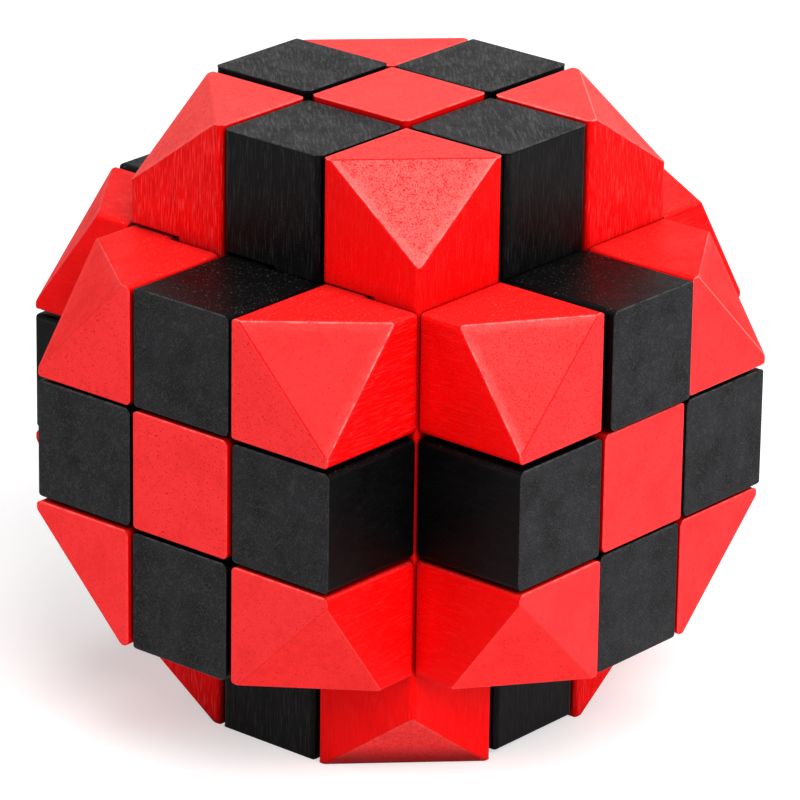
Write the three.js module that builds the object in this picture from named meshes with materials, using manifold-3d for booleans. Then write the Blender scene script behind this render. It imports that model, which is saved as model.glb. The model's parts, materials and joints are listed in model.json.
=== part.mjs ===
import * as THREE from "three";
import { ConvexGeometry } from "three/addons/geometries/ConvexGeometry.js";
import { mergeVertices } from "three/addons/utils/BufferGeometryUtils.js";
import Module from "manifold-3d";

// A puzzle ball of square wooden sticks that cross in three bundles of nine, in millimetres.
// +Z is up and the origin is under the centre, on the table.
// The uprights run along Z, the beams along Y, and pegs along X come in from both sides.
// In the core each cell is shared: an upright has its +X half, a beam its -X half,
// and a peg's square shaft has the quarter at +Y and -Z of both.

// Driving dimensions
const stickPitch = 15; // spacing of the sticks in a bundle
const stickPlay = 0.4; // free space between two neighbouring sticks
const endLength = 15; // how far each end stands out of the core
const cutDepth = 10; // how far the sloping cut runs down the outer edge of a corner stick
const cutSpread = 2; // most that one stick's cut is deeper or shallower than that
const cutInset = 1; // how far short of the two corners beside that edge the cut stays
const endStand = 1; // most that an end stands proud of its neighbours
const overrun = 1; // how far a cutter runs past what it cuts

// Colours and finish
const redPaint = { color: 0xdd1016, roughness: 0.5, metalness: 0 };
const blackPaint = { color: 0x1b1b1d, roughness: 0.55, metalness: 0 };

// Sizes that follow
const rows = 3;
const stickWidth = stickPitch - stickPlay;
const halfWidth = stickWidth / 2;
const cutReach = stickWidth - cutInset;
const halfGap = stickPlay / 2;
const halfPitch = stickPitch / 2;
const coreHalf = (rows * stickPitch) / 2;
const ballHalf = coreHalf + endLength;

// The places of the sticks in their bundles, in pitches from the centre
const acrossPlaces = { left: -1, middle: 0, right: 1 };
const depthPlaces = { front: -1, centre: 0, back: 1 };
const levelPlaces = { low: -1, mid: 0, high: 1 };

// How each stick sits: its lean along the two axes across it, as shares of the play,
// then how far its ends stand proud and how much deeper their cuts are, as shares of the most.
// An upright has its lower end first and a beam its back end.
const uprightShares = {
  left: {
    front: [[0, 0.2], [0, 0.2], [-0.5, 0.1]],
    centre: [[-0.1, 0], [0, 0.8], [0, 0]],
    back: [[0, -0.2], [0, 0.3], [0, -0.2]],
  },
  middle: {
    front: [[-0.1, -0.1], [0, 0], [0, 0]],
    centre: [[0, 0], [0, 0.5], [0, 0]],
    back: [[-0.1, -0.2], [0, 0.5], [0, 0]],
  },
  right: {
    front: [[0.2, -0.3], [0, 0], [0, 0.1]],
    centre: [[0.2, 0.1], [-0.8, 0], [0, 0]],
    back: [[0.3, 0.3], [0, 0.2], [0, -0.6]],
  },
};
const beamShares = {
  left: {
    low: [[-0.2, 0], [0.7, 0.7], [0.3, 0.1]],
    mid: [[0, 0.1], [0.1, 0.4], [0, 0]],
    high: [[-0.1, -0.2], [0.3, 0.3], [0.1, 0.1]],
  },
  middle: {
    low: [[-0.3, -0.2], [0.1, 0.3], [0, 0]],
    mid: [[-0.1, 0], [0.3, 0.3], [0, 0]],
    high: [[0.1, 0.1], [0.2, 0.2], [0, 0]],
  },
  right: {
    low: [[0.3, -0.2], [0.2, 0.2], [0, 0]],
    mid: [[0.1, -0.3], [0, 0], [0, 0]],
    high: [[0.3, 0.3], [0.3, 0.3], [-0.8, 0.8]],
  },
};
const rightPegShares = {
  front: { low: [[-0.2, -0.1], 0.4, 0.1], mid: [[-0.3, -0.3], 0.2, 0], high: [[-0.1, 0.3], 0, -0.3] },
  centre: { low: [[-0.3, 0], 0, 0], mid: [[-0.2, 0.1], 0.3, 0], high: [[0, 0.3], 1, 0] },
  back: { low: [[-0.3, -0.1], 0, 0.2], mid: [[0, 0], 0.3, 0], high: [[0.2, 0.1], 0.4, -0.5] },
};
const leftPegShares = {
  front: { low: [[0.1, 0], 0.3, -0.1], mid: [[0, 0.1], 0.1, 0], high: [[-0.1, 0.2], 0.1, 0.2] },
  centre: { low: [[0, -0.1], 1, 0], mid: [[0.1, 0], 0.2, 0], high: [[0, 0.3], 0.4, 0] },
  back: { low: [[-0.1, 0], 0.2, 0.3], mid: [[0.2, 0.1], 0.6, 0], high: [[0.1, -0.1], 0.3, 0] },
};

// Every stick is modelled upright, and these turns lay it along its own axis.
const turns = {
  upright: new THREE.Quaternion(),
  halfRound: new THREE.Quaternion().setFromAxisAngle(new THREE.Vector3(0, 1, -1).normalize(), Math.PI),
  alongX: new THREE.Quaternion().setFromAxisAngle(new THREE.Vector3(1, 1, 1).normalize(), (2 * Math.PI) / 3),
};

const wasm = await Module();
wasm.setup();

// Solids to join and cut
function solidFrom(geometry) {
  geometry.deleteAttribute("normal");
  geometry.deleteAttribute("uv");
  const merged = mergeVertices(geometry);
  return new wasm.Manifold(
    new wasm.Mesh({
      numProp: 3,
      vertProperties: merged.attributes.position.array,
      triVerts: new Uint32Array(merged.index.array),
    }),
  );
}

function geometryFrom(solid) {
  const { vertProperties, triVerts } = solid.getMesh();
  const shared = new THREE.BufferGeometry();
  shared.setAttribute("position", new THREE.BufferAttribute(vertProperties, 3));
  shared.setIndex(new THREE.BufferAttribute(triVerts, 1));
  const geometry = shared.toNonIndexed();
  geometry.computeVertexNormals();
  return geometry;
}

// A box between its lowest and highest corners
function block(low, high) {
  const size = high.map((value, axis) => value - low[axis]);
  const middle = high.map((value, axis) => (value + low[axis]) / 2);
  return solidFrom(new THREE.BoxGeometry(...size).translate(...middle));
}

function cutFor(cutShare) {
  return cutDepth + cutShare * cutSpread;
}

// The square bar of a stick between two heights. A corner stick's bar is cut at its ends, from near
// the two corners beside its outer edge down to a point on that edge. The last values are how deep.
// outward is the way from the ball's centre.
function bar(low, high, outward, [lowCut, highCut]) {
  const points = [];
  const add = (x, y, z) => points.push(new THREE.Vector3(x, y, z));
  for (const x of [-halfWidth, halfWidth]) {
    for (const y of [-halfWidth, halfWidth]) {
      const isOuter = Math.sign(x) === outward.x && Math.sign(y) === outward.y;
      for (const [end, cut] of [[low, lowCut], [high, -highCut]]) {
        add(x, y, isOuter ? end + cut : end);
        if (isOuter && cut !== 0) {
          add(x - outward.x * cutReach, y, end);
          add(x, y - outward.y * cutReach, end);
        }
      }
    }
  }
  return solidFrom(new ConvexGeometry(points));
}

// A whole stick: a long notch takes half of it in the core, and short ones let the pegs past.
function crossStick(standShares, cutShares, outward) {
  const [lowStand, highStand] = standShares.map((share) => share * endStand);
  let solid = bar(-ballHalf - lowStand, ballHalf + highStand, outward, cutShares.map(cutFor));
  solid = solid.subtract(
    block([-halfWidth - overrun, -halfWidth - overrun, -coreHalf], [halfGap, halfWidth + overrun, coreHalf]),
  );
  for (const place of Object.values(levelPlaces)) {
    const middle = place * stickPitch;
    solid = solid.subtract(
      block(
        [-overrun, -halfGap, middle - halfPitch - halfGap],
        [halfWidth + overrun, halfWidth + overrun, middle + halfGap],
      ),
    );
  }
  return geometryFrom(solid);
}

// A peg: a head as long as the other ends, and a square shaft that is a quarter of the stick.
function peg(isLong, standShare, cutShare, outward) {
  const tip = isLong ? halfGap - stickPitch : halfGap + stickPitch;
  const head = bar(coreHalf, ballHalf + standShare * endStand, outward, [0, cutFor(cutShare)]);
  const shaft = block([halfGap, -halfWidth, tip], [halfWidth, -halfGap, coreHalf + overrun]);
  return geometryFrom(head.add(shaft));
}

// A stick's cell holds its places across the bundle and is zero along the stick.
// Corner and centre sticks are red, and those between are black.
function isRed(cell) {
  return cell.toArray().filter((place) => place !== 0).length !== 1;
}

function placed(name, cell, lean, turn, shape) {
  const outward = cell.clone().applyQuaternion(turn.clone().invert()).round();
  const material = new THREE.MeshStandardMaterial(isRed(cell) ? redPaint : blackPaint);
  const mesh = new THREE.Mesh(shape(outward), material);
  mesh.name = name;
  mesh.quaternion.copy(turn);
  mesh.position.copy(cell).multiplyScalar(stickPitch).addScaledVector(lean, stickPlay);
  return mesh;
}

// Every stick of a bundle, by the two names of its place
function bundle(bundleShares, placesA, placesB, make) {
  const group = new THREE.Group();
  for (const [nameA, placeA] of Object.entries(placesA)) {
    for (const [nameB, placeB] of Object.entries(placesB)) {
      group.add(make(nameA + "_" + nameB, placeA, placeB, bundleShares[nameA][nameB]));
    }
  }
  return group;
}

function uprights() {
  return bundle(uprightShares, acrossPlaces, depthPlaces, (place, x, y, shares) => {
    const [[xShare, yShare], standShares, cutShares] = shares;
    return placed(
      "upright_" + place,
      new THREE.Vector3(x, y, 0),
      new THREE.Vector3(xShare, yShare, 0),
      turns.upright,
      (outward) => crossStick(standShares, cutShares, outward),
    );
  });
}

function beams() {
  return bundle(beamShares, acrossPlaces, levelPlaces, (place, x, z, shares) => {
    const [[xShare, zShare], standShares, cutShares] = shares;
    return placed(
      "beam_" + place,
      new THREE.Vector3(x, 0, z),
      new THREE.Vector3(xShare, 0, zShare),
      turns.halfRound,
      (outward) => crossStick(standShares, cutShares, outward),
    );
  });
}

// Red rows have their long shaft on the right and black rows on the left,
// so the two sets lock across the middle.
function pegs(side, sideShares, turn, redIsLong) {
  return bundle(sideShares, depthPlaces, levelPlaces, (place, y, z, shares) => {
    const [[yShare, zShare], standShare, cutShare] = shares;
    const cell = new THREE.Vector3(0, y, z);
    const isLong = isRed(cell) === redIsLong;
    return placed(
      side + "_peg_" + place,
      cell,
      new THREE.Vector3(0, yShare, zShare),
      turn,
      (outward) => peg(isLong, standShare, cutShare, outward),
    );
  });
}

const ball = new THREE.Group();
ball.add(
  uprights(),
  beams(),
  pegs("right", rightPegShares, turns.alongX, true),
  pegs("left", leftPegShares, turns.halfRound.clone().multiply(turns.alongX), false),
);
ball.position.z = ballHalf;

export default ball;
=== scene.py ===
import json
import math

import bpy
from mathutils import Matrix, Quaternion, Vector


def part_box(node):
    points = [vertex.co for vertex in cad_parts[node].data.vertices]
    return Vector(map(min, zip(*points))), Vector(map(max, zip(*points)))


# A puzzle ball of painted wooden sticks. Lengths are in metres.

MM = 0.001
CELLS_ACROSS = 5
AXIS_NAMES = "xyz"
UP = (0, 0, 1)

# Edges of the sticks: those along a stick are rounded well, those round its ends and cuts hardly
LONG_EDGE = 0.8 * MM
END_EDGE = 0.25 * MM
EDGE_SEGMENTS = 3
LEAST_EDGE_ANGLE = math.radians(20)
SAME_POINT = 0.01 * MM
FLAT_ANGLE = math.radians(1)

# The photograph's camera. A cell at the ball's middle is CELL_PIXELS across, and the aim is moved
# to the right and up from there. Blender takes the sensor in millimetres
AZIMUTH = math.radians(40.26)
ELEVATION = math.radians(21.08)
ROLL = math.radians(0.81)
CAMERA_DISTANCE = 0.696
CELL_PIXELS = 126.3
FRAME_PIXELS = 800
SENSOR_WIDTH = 36
AIM_RIGHT = 0.63 * MM
AIM_UP = -0.27 * MM

# Sizes of the marks in wood and paint
STREAK_LENGTH = 5 * MM
STREAK_WIDTH = 0.2 * MM
FIBRE_LENGTH = 2.2 * MM
FIBRE_WIDTH = 0.14 * MM
SAW_MARK_LENGTH = 2 * MM
SAW_MARK_WIDTH = 0.26 * MM
CLOUD_SIZE = 4.5 * MM
WEAR_PATCH = 1.3 * MM
MOTTLE_SIZE = 0.9 * MM
FLECK_SIZE = 0.3 * MM
SPECK_SIZE = 0.19 * MM
GRIT_SIZE = 0.14 * MM

# The saw crossed the ends at this angle
SAW_ANGLE = math.radians(-45)

# Each stick has its marks from a place of its own in the textures, up to this far off
OWN_SHIFT = (0.37, 0.61, 0.83)

# How far a face is turned from the stick's own way: a side is 0, a sloping cut about 0.7 and an end 1
SIDE_TO_CUT = (0.4, 0.55)
CUT_TO_END = (0.84, 0.94)

# The narrow turn between a cut and the end above it, on the same scale
CREASE_LOW = (0.77, 0.83)
CREASE_HIGH = (0.9, 0.97)

# How far a face looks up, from a wall to what counts as top, and to what counts as a slope
WALL_TO_TOP = (0.55, 0.7)
WALL_TO_SLOPE = (0, 0.35)

# The value of each noise from which its mark begins to show, and at which it is full
STREAK_RANGE = (0.42, 0.66)
FIBRE_RANGE = (0.5, 0.72)
CLOUD_RANGE = (0.7, 1)
FLECK_RANGE = (0.63, 0.76)
PATCH_RANGE = (0.4, 0.62)
GLOSS_RANGE = (0.5, 1)
NOISE_MIDDLE = 0.5

# Pits begin to show at these values where the paint is thick and where it is thin
PIT_START = (0.66, 0.54)
PIT_FULL = 0.7

# How much of the mottle goes into the clouds and into the gloss
CLOUD_MOTTLE = 0.6
GLOSS_MOTTLE = 0.5

# How strong a mark still is where the face doesn't look up. The worn rim and line, kept stronger where the
# face looks up, are partly a painted highlight
THIN_PAINT_ON_WALLS = 0.4
SPECKS_ON_WALLS = 0.65
FLECKS_ON_WALLS = 0.1
RIM_ON_WALLS = 0.1
LINE_ON_WALLS = 0.25

# How much of the pale dust, which also paints in light on what faces up, lies on the sides, and how many
# specks on a worn rim
DUST_AND_TOP_LIGHT_ON_SIDES = 0.25
SPECKS_ON_RIM = 0.1

# How far the saw's marks take the place of round specks, on a wall and on top
SAW_MARK_SHARE = (0.1, 0.75)

# Worn edges, by how far they reach in from the sides: a soft rim, where it wobbles by up to
# RIM_WOBBLE and is as strong as RIM_SHARE on thick and on thin paint, and a thin line in patches.
# Where they look up they are also a painted highlight
RIM_REACH = (0.3 * MM, 1.3 * MM)
RIM_WOBBLE = 1.6 * MM
RIM_SHARE = (0.08, 0.22)
LINE_REACH = (0.1 * MM, 0.4 * MM)
LEAST_PATCH = 0.2

# The dark line on a side below its end is painted shade. It shows where a rounding of this size would lean so
# far
DARK_LINE_REACH = 1.1 * MM
DARK_LINE_LEAN = (0.25, 0.5)
DARK_LINE_SAMPLES = 8

# Painted shade in crevices: a crevice is where others stand this near, with this share of the view from there
# still open
CREVICE_REACH = 5 * MM
CREVICE_RANGE = (0.15, 0.75)
CREVICE_SAMPLES = 4

# How much rougher the cut grain is than the sides
END_ROUGHNESS = 0.12

# Height of the relief's parts, and of the whole
STREAK_RELIEF = (0.15, 1.2)
SPECK_RELIEF = 0.5
GRIT_RELIEF = 0.7
MOTTLE_RELIEF = 0.8
BUMP_STRENGTH = 0.5
BUMP_DEPTH = 0.05 * MM

# Paints: colours, the share of each mark, and the look of the specks in the cut grain
RED = {
    "side": (0.88, 0.0006, 0.0007, 1),
    "cut": (0.95, 0.026, 0.026, 1),
    "end": (0.96, 0.034, 0.036, 1),
    "streak": (0.5, 0.0004, 0.0006, 1),
    # The colour of the painted shade in crevices
    "deep": (0.25, 0.0001, 0.0001, 1),
    "speck": (0.62, 0.012, 0.016, 1),
    "fibre": (0.96, 0.06, 0.065, 1),
    "worn": (0.97, 0.26, 0.23, 1),
    "crease": (0.58, 0.001, 0.003, 1),
    "streak_share": 0.6,
    "speck_share": 0.95,
    "fibre_share": 0.6,
    "fleck_share": 0.25,
    "pit_share": 0.85,
    "wear_and_highlight_share": 0.65,
    "shade_line_share": 0.35,
    "crease_share": 0.95,
    "cloud_share": 0.15,
    "dust_and_top_light_share": 0.17,
    "thin_share": 0.15,
    "sawn": False,
    "speck_mottle": 0.45,
    "speck_range": (0.42, 0.7),
    "roughness": (0.46, 0.6),
    "specular": 0.05,
}
BLACK = {
    "side": (0.0011, 0.001, 0.0012, 1),
    "cut": (0.0135, 0.0135, 0.015, 1),
    "end": (0.0135, 0.0135, 0.015, 1),
    "streak": (0.001, 0.001, 0.001, 1),
    # The colour of the painted shade in crevices
    "deep": (0.0002, 0.0002, 0.0002, 1),
    "speck": (0.08, 0.08, 0.082, 1),
    "fibre": (0.026, 0.026, 0.027, 1),
    "worn": (0.16, 0.155, 0.15, 1),
    "streak_share": 0.6,
    "speck_share": 0.55,
    "fibre_share": 0.5,
    "fleck_share": 0.3,
    "pit_share": 0.3,
    "wear_and_highlight_share": 0.4,
    "shade_line_share": 0.9,
    "crease_share": 0,
    "cloud_share": 0.55,
    "dust_and_top_light_share": 0.02,
    "thin_share": 0,
    "sawn": True,
    "speck_mottle": 0.4,
    "speck_range": (0.47, 0.65),
    "roughness": (0.34, 0.48),
    "specular": 0.055,
}
PAINTS = {"red_wood": RED, "black_wood": BLACK}

# Lamps: where each stands from the ball's centre, its size and its power
LAMPS = {
    "key": {"place": (0.85, -0.45, 0.9), "size": 0.8, "power": 17},
    "top": {"place": (0, 0.1, 1.2), "size": 0.9, "power": 7.5},
    "side": {"place": (1.2, 0.3, 0.25), "size": 0.8, "power": 9.3},
    "left": {"place": (-0.8, -1.0, 0.1), "size": 0.7, "power": 5.8},
}
WORLD_STRENGTH = 0.08
FLOOR_SIZE = 6
FLOOR_COLOUR = (0.68, 0.68, 0.68, 1)
FLOOR_GLOW = 0.5
WHITE = (1, 1, 1, 1)

# What sets single sticks apart from the usual: how thin the paint lies on the cuts, how far the grain
# shows on the sides, how far the edges are worn, with a painted highlight where they look up, and how
# plainly the crease between a cut and its end shows, darker along it and pale where it is rubbed
USUAL = {
    "thin_paint": 0.12,
    "open_grain": 0.15,
    "edge_wear_and_highlight": 0.5,
    "dark_crease": 0.18,
    "pale_crease": 0,
}
UNUSUAL = {
    "upright_left_front": {"thin_paint": 0.3, "open_grain": 1},
    "upright_middle_front": {"open_grain": 1},
    "upright_right_front": {"thin_paint": 1, "open_grain": 0.2, "edge_wear_and_highlight": 1.1, "dark_crease": 1},
    "upright_right_centre": {"open_grain": 0.6},
    "upright_right_back": {"open_grain": 0.7, "edge_wear_and_highlight": 0.9, "pale_crease": 0.6},
    "beam_right_high": {"open_grain": 0.3, "edge_wear_and_highlight": 1.1, "dark_crease": 0.8},
    "right_peg_front_high": {"thin_paint": 0.7, "edge_wear_and_highlight": 1, "dark_crease": 0.8},
    "right_peg_back_high": {"pale_crease": 0.5},
}


class Graph:
    """Shader or geometry nodes, made and joined in short calls."""

    def __init__(self, tree):
        self.tree = tree

    def add(self, kind, settings=None, **inputs):
        node = self.tree.nodes.new(kind)
        for name, value in (settings or {}).items():
            setattr(node, name, value)
        for name, value in inputs.items():
            self.feed(node.inputs[name.replace("_", " ")], value)
        return node

    def feed(self, socket, value):
        if isinstance(value, bpy.types.NodeSocket):
            self.tree.links.new(value, socket)
        else:
            socket.default_value = value

    def maths(self, operation, first, second=0.0):
        node = self.tree.nodes.new("ShaderNodeMath")
        node.operation = operation
        self.feed(node.inputs[0], first)
        self.feed(node.inputs[1], second)
        return node.outputs[0]

    def product(self, first, *others):
        for other in others:
            first = self.maths("MULTIPLY", first, other)
        return first

    def vector(self, operation, first, second=(0.0, 0.0, 0.0)):
        node = self.tree.nodes.new("ShaderNodeVectorMath")
        node.operation = operation
        self.feed(node.inputs[0], first)
        self.feed(node.inputs[1], second)
        return node.outputs["Value" if operation == "DOT_PRODUCT" else "Vector"]

    def ramp(self, value, low, high, to_low=0.0, to_high=1.0):
        """Goes smoothly from to_low, at the low value and below it, to to_high, at the high one and above."""
        node = self.tree.nodes.new("ShaderNodeMapRange")
        node.interpolation_type = "SMOOTHSTEP"
        for name, given in (
            ("Value", value),
            ("From Min", low),
            ("From Max", high),
            ("To Min", to_low),
            ("To Max", to_high),
        ):
            self.feed(node.inputs[name], given)
        return node.outputs["Result"]

    def between(self, share, low, high):
        """The low value where the share is 0, and the high one where it is 1."""
        return self.ramp(share, 0, 1, low, high)

    def mix(self, share, first, second):
        node = self.tree.nodes.new("ShaderNodeMix")
        node.data_type = "RGBA"
        self.feed(node.inputs[0], share)
        self.feed(node.inputs[6], first)
        self.feed(node.inputs[7], second)
        return node.outputs[2]

    def noise(self, place, detail, roughness):
        node = self.add("ShaderNodeTexNoise", Vector=place, Scale=1.0, Detail=detail, Roughness=roughness)
        return node.outputs["Factor"] if "Factor" in node.outputs else node.outputs["Fac"]

    def own(self, name, kind="Fac"):
        """One of the values that dress() stores on each stick."""
        settings = {"attribute_type": "OBJECT", "attribute_name": name}
        return self.add("ShaderNodeAttribute", settings).outputs[kind]


def along(axis):
    return tuple(1.0 if each == axis else 0.0 for each in range(3))


def first_across(axis):
    """The first axis that isn't this one."""
    return 1 if axis == 0 else 0


class Wood:
    """Shader nodes of satin paint over close-grained wood. The grain runs along the axis, and the ends show
    it cut across. Each method that adds marks lays them over the colour so far."""

    def __init__(self, tree, paint, axis):
        g = Graph(tree)
        self.g = g
        self.paint = paint
        self.axis = axis
        coordinates = g.add("ShaderNodeTexCoord").outputs
        stick = g.add("ShaderNodeObjectInfo").outputs["Random"]
        self.place = g.vector("ADD", coordinates["Object"], g.vector("MULTIPLY", stick, OWN_SHIFT))

        # Textures that more than one mark uses
        self.streaks = self.texture(STREAK_LENGTH, STREAK_WIDTH, detail=3.0, roughness=0.6)
        self.clouds = self.texture(CLOUD_SIZE, CLOUD_SIZE, detail=3.0, roughness=0.6)
        self.mottle = self.texture(MOTTLE_SIZE, MOTTLE_SIZE, detail=3.0, roughness=0.65)
        self.specks = self.texture(SPECK_SIZE, SPECK_SIZE)

        # Which kind of face this is, and how far it looks up
        self.turned = g.maths("ABSOLUTE", g.vector("DOT_PRODUCT", coordinates["Normal"], along(axis)))
        self.off_side = g.ramp(self.turned, *SIDE_TO_CUT)
        self.on_side = g.maths("SUBTRACT", 1.0, self.off_side)
        on_end = g.ramp(self.turned, *CUT_TO_END)
        self.on_cut = g.maths("MULTIPLY", self.off_side, g.maths("SUBTRACT", 1.0, on_end))
        normal = g.add("ShaderNodeNewGeometry").outputs["Normal"]
        self.upward = g.vector("DOT_PRODUCT", normal, UP)
        self.on_top = g.ramp(self.upward, *WALL_TO_TOP)

        # How far in from the sides this point of a cut or end is
        off_middle = g.vector("SUBTRACT", coordinates["Object"], g.own("middle", "Vector"))
        each_way = g.add("ShaderNodeSeparateXYZ", Vector=g.vector("ABSOLUTE", off_middle)).outputs
        across = [each_way[other] for other in range(3) if other != axis]
        self.inset = g.maths("SUBTRACT", g.own("half_width"), g.maths("MAXIMUM", *across))
        wobble = g.maths("MULTIPLY", g.maths("SUBTRACT", self.mottle, NOISE_MIDDLE), RIM_WOBBLE)
        rim = g.ramp(g.maths("ADD", self.inset, wobble), *RIM_REACH, 1, 0)
        self.rim = g.maths("MULTIPLY", rim, self.off_side)

        # The stick's own share of thin paint and open grain
        self.thin_paint = g.own("thin_paint")
        self.thin_here = g.product(self.thin_paint, g.between(self.on_top, THIN_PAINT_ON_WALLS, 1))
        self.open_grain = g.own("open_grain")

        self.colour = g.mix(on_end, g.mix(self.off_side, paint["side"], paint["cut"]), paint["end"])

    def texture(self, length, width, detail=1.0, roughness=0.55):
        """Noise whose features are that long along the stick and that wide across it."""
        scale = tuple(1 / length if each == self.axis else 1 / width for each in range(3))
        return self.g.noise(self.g.vector("MULTIPLY", self.place, scale), detail, roughness)

    def saw_marks(self):
        """Noise stretched the way the saw crossed the ends."""
        long_way = first_across(self.axis)
        sizes = tuple(SAW_MARK_LENGTH if each == long_way else SAW_MARK_WIDTH for each in range(3))
        turn = tuple(SAW_ANGLE if each == self.axis else 0.0 for each in range(3))
        settings = {"vector_type": "TEXTURE"}
        mapping = self.g.add("ShaderNodeMapping", settings, Vector=self.place, Rotation=turn, Scale=sizes)
        return self.g.noise(mapping.outputs["Vector"], detail=2.0, roughness=0.6)

    def lay(self, mask, share, colour):
        """Lays one of the paint's colours over what is there, as far as the mask and its share say."""
        amount = self.g.maths("MULTIPLY", mask, self.paint[share])
        self.colour = self.g.mix(amount, self.colour, self.paint[colour])

    def add_grain(self):
        """Streaks and fibres along the sides, and clouds all over."""
        g = self.g
        streaks = g.product(g.ramp(self.streaks, *STREAK_RANGE), self.on_side, self.open_grain)
        self.lay(streaks, "streak_share", "streak")
        clouds = g.maths("ADD", self.clouds, g.maths("MULTIPLY", self.mottle, CLOUD_MOTTLE))
        self.lay(g.ramp(clouds, *CLOUD_RANGE), "cloud_share", "streak")
        fibres = g.ramp(self.texture(FIBRE_LENGTH, FIBRE_WIDTH), *FIBRE_RANGE)
        self.lay(g.product(fibres, self.on_side, self.open_grain), "fibre_share", "fibre")

    def add_dust_and_top_light(self):
        """Dust on what faces up, which also paints in the light that falls on tops, and thin paint on the
        cuts. All are pale.
        """
        g = self.g
        # Paler where the face looks up: dust, and also painted light from above
        dust_and_top_light = g.product(self.on_top, g.between(self.off_side, DUST_AND_TOP_LIGHT_ON_SIDES, 1), self.paint["dust_and_top_light_share"])
        thinned = g.product(self.thin_here, self.on_cut, self.paint["thin_share"])
        self.colour = g.mix(g.maths("ADD", dust_and_top_light, thinned), self.colour, self.paint["worn"])

    def add_specks(self):
        """Specks in the cut grain, then pits, then a few flecks of dust. Gives back where the specks are."""
        g = self.g
        mottled = g.maths("MULTIPLY", self.mottle, self.paint["speck_mottle"])
        speckled = g.maths("MULTIPLY", self.specks, 1 - self.paint["speck_mottle"])
        crowded = g.maths("ADD", mottled, speckled)
        if self.paint["sawn"]:
            marked = g.maths("SUBTRACT", self.saw_marks(), crowded)
            marked = g.maths("MULTIPLY", marked, g.between(self.on_top, *SAW_MARK_SHARE))
            crowded = g.maths("ADD", crowded, marked)
            where = g.maths("MULTIPLY", self.off_side, g.between(self.on_top, SPECKS_ON_WALLS, 1))
        else:
            where = g.product(self.thin_here, self.on_cut, g.between(self.rim, 1, SPECKS_ON_RIM))
        specks = g.maths("MULTIPLY", g.ramp(crowded, *self.paint["speck_range"]), where)
        self.lay(specks, "speck_share", "speck")

        pits = g.ramp(self.specks, g.between(self.thin_paint, *PIT_START), PIT_FULL)
        self.lay(g.maths("MULTIPLY", pits, self.off_side), "pit_share", "streak")
        flecks = g.ramp(self.texture(FLECK_SIZE, FLECK_SIZE), *FLECK_RANGE)
        flecks = g.maths("MULTIPLY", flecks, g.between(self.on_top, FLECKS_ON_WALLS, 1))
        self.lay(flecks, "fleck_share", "worn")
        return specks

    def add_wear_and_highlight(self):
        """Where handling has thinned the paint: a soft rim on the cuts, and a line round cuts and ends. Both
        are stronger where the face looks up, which paints in a highlight on those edges.
        """
        g = self.g
        rim = g.product(self.rim, self.on_cut, g.between(self.thin_paint, *RIM_SHARE))
        # Stronger where the face looks up: wear, and also a painted highlight
        rim = g.maths("MULTIPLY", rim, g.ramp(self.upward, *WALL_TO_SLOPE, RIM_ON_WALLS, 1))
        line = g.product(g.ramp(self.inset, *LINE_REACH, 1, 0), self.off_side, g.own("edge_wear_and_highlight"))
        line = g.maths("MULTIPLY", line, g.ramp(self.upward, *WALL_TO_SLOPE, LINE_ON_WALLS, 1))
        patches = self.texture(WEAR_PATCH, WEAR_PATCH, detail=3.0, roughness=0.7)
        line = g.maths("MULTIPLY", line, g.ramp(patches, *PATCH_RANGE, LEAST_PATCH, 1))
        self.lay(g.maths("MAXIMUM", rim, line), "wear_and_highlight_share", "worn")

    def add_lines(self):
        """A dark line of painted shade on the side, just below the cut or end, and the crease between a cut
        and its end.
        """
        g = self.g
        settings = {"samples": DARK_LINE_SAMPLES}
        rounded = g.add("ShaderNodeBevel", settings, Radius=DARK_LINE_REACH).outputs["Normal"]
        leaning = g.maths("ABSOLUTE", g.vector("DOT_PRODUCT", rounded, along(self.axis)))
        # Painted shade: a dark line on the side just below the cut or end
        painted_shade_line = g.maths("MULTIPLY", g.ramp(leaning, *DARK_LINE_LEAN), self.on_side)
        self.lay(painted_shade_line, "shade_line_share", "streak")
        crease = g.product(g.ramp(self.turned, *CREASE_LOW), g.ramp(self.turned, *CREASE_HIGH, 1, 0))
        if self.paint["crease_share"]:
            self.lay(g.maths("MULTIPLY", crease, g.own("dark_crease")), "crease_share", "crease")
        pale_crease = g.maths("MULTIPLY", crease, g.own("pale_crease"))
        self.colour = g.mix(pale_crease, self.colour, self.paint["worn"])

    def paint_crevice_shade(self):
        """Paints shade where other faces stand close, by mixing in the paint's darker colour for it."""
        g = self.g
        settings = {"samples": CREVICE_SAMPLES}
        openness = g.add("ShaderNodeAmbientOcclusion", settings, Distance=CREVICE_REACH).outputs["AO"]
        # Painted shade: the colour goes darker where other faces stand close
        self.colour = g.mix(g.ramp(openness, *CREVICE_RANGE), self.paint["deep"], self.colour)

    def roughness(self):
        g = self.g
        uneven = g.maths("ADD", self.clouds, g.maths("MULTIPLY", self.mottle, GLOSS_MOTTLE))
        roughness = g.ramp(uneven, *GLOSS_RANGE, *self.paint["roughness"])
        return g.maths("ADD", roughness, g.maths("MULTIPLY", self.off_side, END_ROUGHNESS))

    def relief(self, specks):
        """Streaks on the sides, pits where the specks are, and grit and mottle all over."""
        g = self.g
        grainy = g.maths("MULTIPLY", self.on_side, self.open_grain)
        height = g.maths("MULTIPLY", self.streaks, g.between(grainy, *STREAK_RELIEF))
        height = g.maths("SUBTRACT", height, g.maths("MULTIPLY", specks, SPECK_RELIEF))
        grit = self.texture(GRIT_SIZE, GRIT_SIZE)
        height = g.maths("ADD", height, g.maths("MULTIPLY", grit, GRIT_RELIEF))
        height = g.maths("ADD", height, g.maths("MULTIPLY", self.mottle, MOTTLE_RELIEF))
        bump = g.add("ShaderNodeBump", Strength=BUMP_STRENGTH, Distance=BUMP_DEPTH, Height=height)
        return bump.outputs["Normal"]


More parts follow.
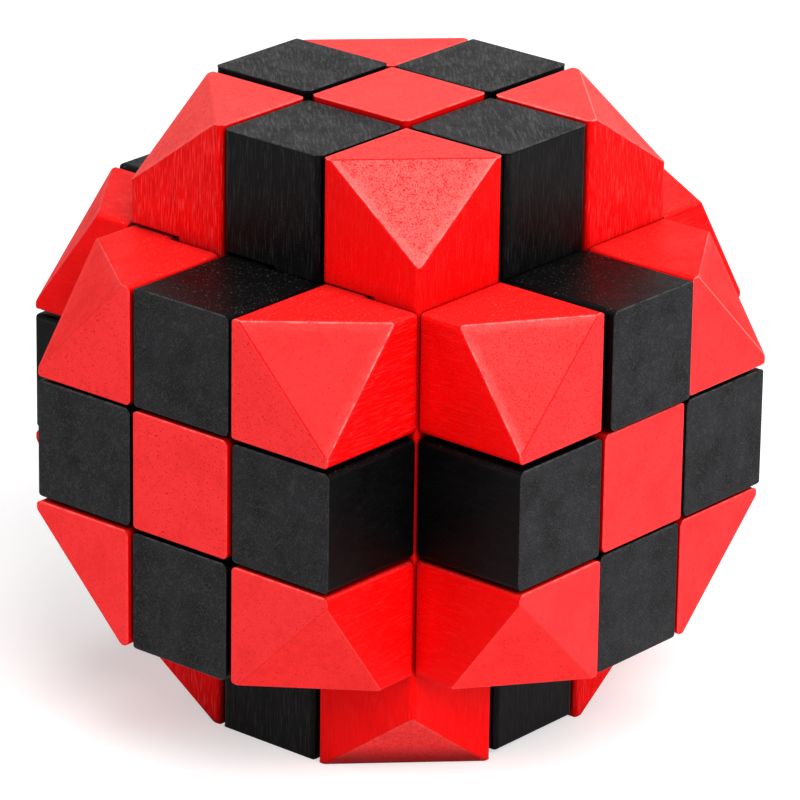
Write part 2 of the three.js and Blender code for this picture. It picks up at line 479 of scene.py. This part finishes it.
def painted_wood(name, paint, axis):
    material = bpy.data.materials.new(name)
    material.use_nodes = True
    material.diffuse_color = paint["side"]
    tree = material.node_tree
    tree.nodes.clear()
    wood = Wood(tree, paint, axis)
    wood.add_grain()
    wood.add_dust_and_top_light()
    specks = wood.add_specks()
    wood.add_wear_and_highlight()
    wood.add_lines()
    wood.paint_crevice_shade()
    shader = wood.g.add(
        "ShaderNodeBsdfPrincipled",
        Base_Color=wood.colour,
        Roughness=wood.roughness(),
        Normal=wood.relief(specks),
    )
    shader.inputs["Specular IOR Level"].default_value = paint["specular"]
    output = wood.g.add("ShaderNodeOutputMaterial")
    tree.links.new(shader.outputs["BSDF"], output.inputs["Surface"])
    return material


def grain_axis(name):
    if name.startswith("upright"):
        return 2
    if name.startswith("beam"):
        return 1
    return 0


def edge_sizes(axis):
    """Nodes that say how far each outer edge is rounded, by whether it runs along the stick."""
    tree = bpy.data.node_groups.new(f"edges_along_{AXIS_NAMES[axis]}", "GeometryNodeTree")
    for way in ("INPUT", "OUTPUT"):
        tree.interface.new_socket("Geometry", in_out=way, socket_type="NodeSocketGeometry")
    g = Graph(tree)
    ends = g.add("GeometryNodeInputMeshEdgeVertices")
    run = g.vector("SUBTRACT", ends.outputs["Position 1"], ends.outputs["Position 2"])
    sameness = g.maths("ABSOLUTE", g.vector("DOT_PRODUCT", g.vector("NORMALIZE", run), along(axis)))
    is_long = g.maths("GREATER_THAN", sameness, math.cos(FLAT_ANGLE))
    angle = g.add("GeometryNodeInputMeshEdgeAngle").outputs["Signed Angle"]
    is_outer = g.maths("GREATER_THAN", angle, LEAST_EDGE_ANGLE)
    end_share = END_EDGE / LONG_EDGE
    share = g.maths("ADD", g.maths("MULTIPLY", is_long, 1 - end_share), end_share)
    store = g.add(
        "GeometryNodeStoreNamedAttribute",
        {"data_type": "FLOAT", "domain": "EDGE"},
        Geometry=g.add("NodeGroupInput").outputs[0],
        Name="bevel_weight_edge",
        Value=g.maths("MULTIPLY", share, is_outer),
    )
    tree.links.new(store.outputs["Geometry"], g.add("NodeGroupOutput").inputs[0])
    return tree


def soften(piece, sizes):
    """Rounds the edges of a stick, as tumbling and paint leave it."""
    mesh = piece.data
    if "custom_normal" in mesh.attributes:
        mesh.attributes.remove(mesh.attributes["custom_normal"])
    mesh.shade_smooth()
    weld = piece.modifiers.new("weld", "WELD")
    weld.merge_threshold = SAME_POINT
    flat = piece.modifiers.new("flat", "DECIMATE")
    flat.decimate_type = "DISSOLVE"
    flat.angle_limit = FLAT_ANGLE
    sizing = piece.modifiers.new("sizes", "NODES")
    sizing.node_group = sizes
    rounding = piece.modifiers.new("rounding", "BEVEL")
    rounding.limit_method = "WEIGHT"
    rounding.width = LONG_EDGE
    rounding.segments = EDGE_SEGMENTS
    rounding.use_clamp_overlap = False
    rounding.harden_normals = True


def middle_and_half_width(piece, axis):
    """The middle of the stick in its own coordinates, and half its width."""
    corners = [vertex.co for vertex in piece.data.vertices]
    low = [min(corner[each] for corner in corners) for each in range(3)]
    high = [max(corner[each] for corner in corners) for each in range(3)]
    middle = [(one + other) / 2 for one, other in zip(low, high)]
    side = first_across(axis)
    return middle, (high[side] - low[side]) / 2


def dress(frame):
    """Gives each stick its paint, its own values and its rounded edges."""
    slots = {part["node"]: part["material_slot"] for part in frame["record"]["subparts"]}
    sizes = [edge_sizes(axis) for axis in range(3)]
    made = {}
    for name, piece in frame["nodes"].items():
        axis = grain_axis(name)
        key = f"{slots[name]}_along_{AXIS_NAMES[axis]}"
        if key not in made:
            made[key] = painted_wood(key, PAINTS[slots[name]], axis)
        piece.data.materials.clear()
        piece.data.materials.append(made[key])
        for value_name, value in (USUAL | UNUSUAL.get(name, {})).items():
            piece[value_name] = float(value)
        piece["middle"], piece["half_width"] = middle_and_half_width(piece, axis)
        soften(piece, sizes[axis])


def add_camera(centre, pitch):
    toward_camera = Vector(
        (
            math.sin(AZIMUTH) * math.cos(ELEVATION),
            -math.cos(AZIMUTH) * math.cos(ELEVATION),
            math.sin(ELEVATION),
        )
    )
    right = Vector((math.cos(AZIMUTH), math.sin(AZIMUTH), 0))
    up = toward_camera.cross(right)
    rolled_right = right * math.cos(ROLL) + up * math.sin(ROLL)
    aim = centre + rolled_right * AIM_RIGHT + Vector((0, 0, AIM_UP))
    focal_pixels = CELL_PIXELS * CAMERA_DISTANCE / pitch
    data = bpy.data.cameras.new("camera")
    data.sensor_width = SENSOR_WIDTH
    data.lens = SENSOR_WIDTH * focal_pixels / FRAME_PIXELS
    camera = bpy.data.objects.new("camera", data)
    bpy.context.scene.collection.objects.link(camera)
    camera.location = aim + toward_camera * CAMERA_DISTANCE
    level = (-toward_camera).to_track_quat("-Z", "Y")
    camera.rotation_euler = (level @ Quaternion((0, 0, 1), ROLL)).to_euler()
    bpy.context.scene.camera = camera


def add_lamps(centre):
    for name, lamp in LAMPS.items():
        data = bpy.data.lights.new(name, "AREA")
        data.size = lamp["size"]
        data.energy = lamp["power"]
        light = bpy.data.objects.new(name, data)
        bpy.context.scene.collection.objects.link(light)
        place = Vector(lamp["place"])
        light.location = centre + place
        light.rotation_euler = (-place).to_track_quat("-Z", "Y").to_euler()


def seen_or_mirrored(g):
    """1 for what the camera sees, straight or in a gloss, and 0 for light that falls on the object."""
    path = g.add("ShaderNodeLightPath")
    seen = g.maths("MAXIMUM", path.outputs["Is Camera Ray"], path.outputs["Is Glossy Ray"])
    return g.maths("MAXIMUM", seen, path.outputs["Is Transmission Ray"])


def add_world():
    world = bpy.data.worlds.new("studio")
    world.use_nodes = True
    g = Graph(world.node_tree)
    strength = g.between(seen_or_mirrored(g), WORLD_STRENGTH, 1)
    background = world.node_tree.nodes["Background"]
    g.feed(background.inputs["Color"], WHITE)
    g.feed(background.inputs["Strength"], strength)
    bpy.context.scene.world = world


def add_floor():
    bpy.ops.mesh.primitive_plane_add(size=FLOOR_SIZE)
    floor = bpy.context.object
    floor.name = "floor"
    material = bpy.data.materials.new("floor")
    material.use_nodes = True
    tree = material.node_tree
    tree.nodes.clear()
    g = Graph(tree)
    diffuse = g.add("ShaderNodeBsdfDiffuse", Color=FLOOR_COLOUR)
    strength = g.maths("MULTIPLY", seen_or_mirrored(g), FLOOR_GLOW)
    glow = g.add("ShaderNodeEmission", Color=WHITE, Strength=strength)
    both = g.add("ShaderNodeAddShader")
    tree.links.new(diffuse.outputs[0], both.inputs[0])
    tree.links.new(glow.outputs[0], both.inputs[1])
    output = g.add("ShaderNodeOutputMaterial")
    tree.links.new(both.outputs[0], output.inputs["Surface"])
    floor.data.materials.append(material)


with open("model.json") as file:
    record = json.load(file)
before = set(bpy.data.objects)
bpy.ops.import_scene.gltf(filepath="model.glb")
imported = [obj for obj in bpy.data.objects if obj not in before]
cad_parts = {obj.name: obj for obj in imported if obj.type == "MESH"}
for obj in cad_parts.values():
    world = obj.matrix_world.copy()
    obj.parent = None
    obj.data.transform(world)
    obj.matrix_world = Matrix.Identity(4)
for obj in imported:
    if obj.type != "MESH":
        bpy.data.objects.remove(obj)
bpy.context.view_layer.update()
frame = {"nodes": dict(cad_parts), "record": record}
stick_low, stick_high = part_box("upright_right_front")
height = stick_high.z - stick_low.z
centre = Vector((0, 0, stick_low.z + height / 2))

add_camera(centre, height / CELLS_ACROSS)
dress(frame)
add_lamps(centre)
add_world()
add_floor()
bpy.context.scene.view_settings.view_transform = "Standard"
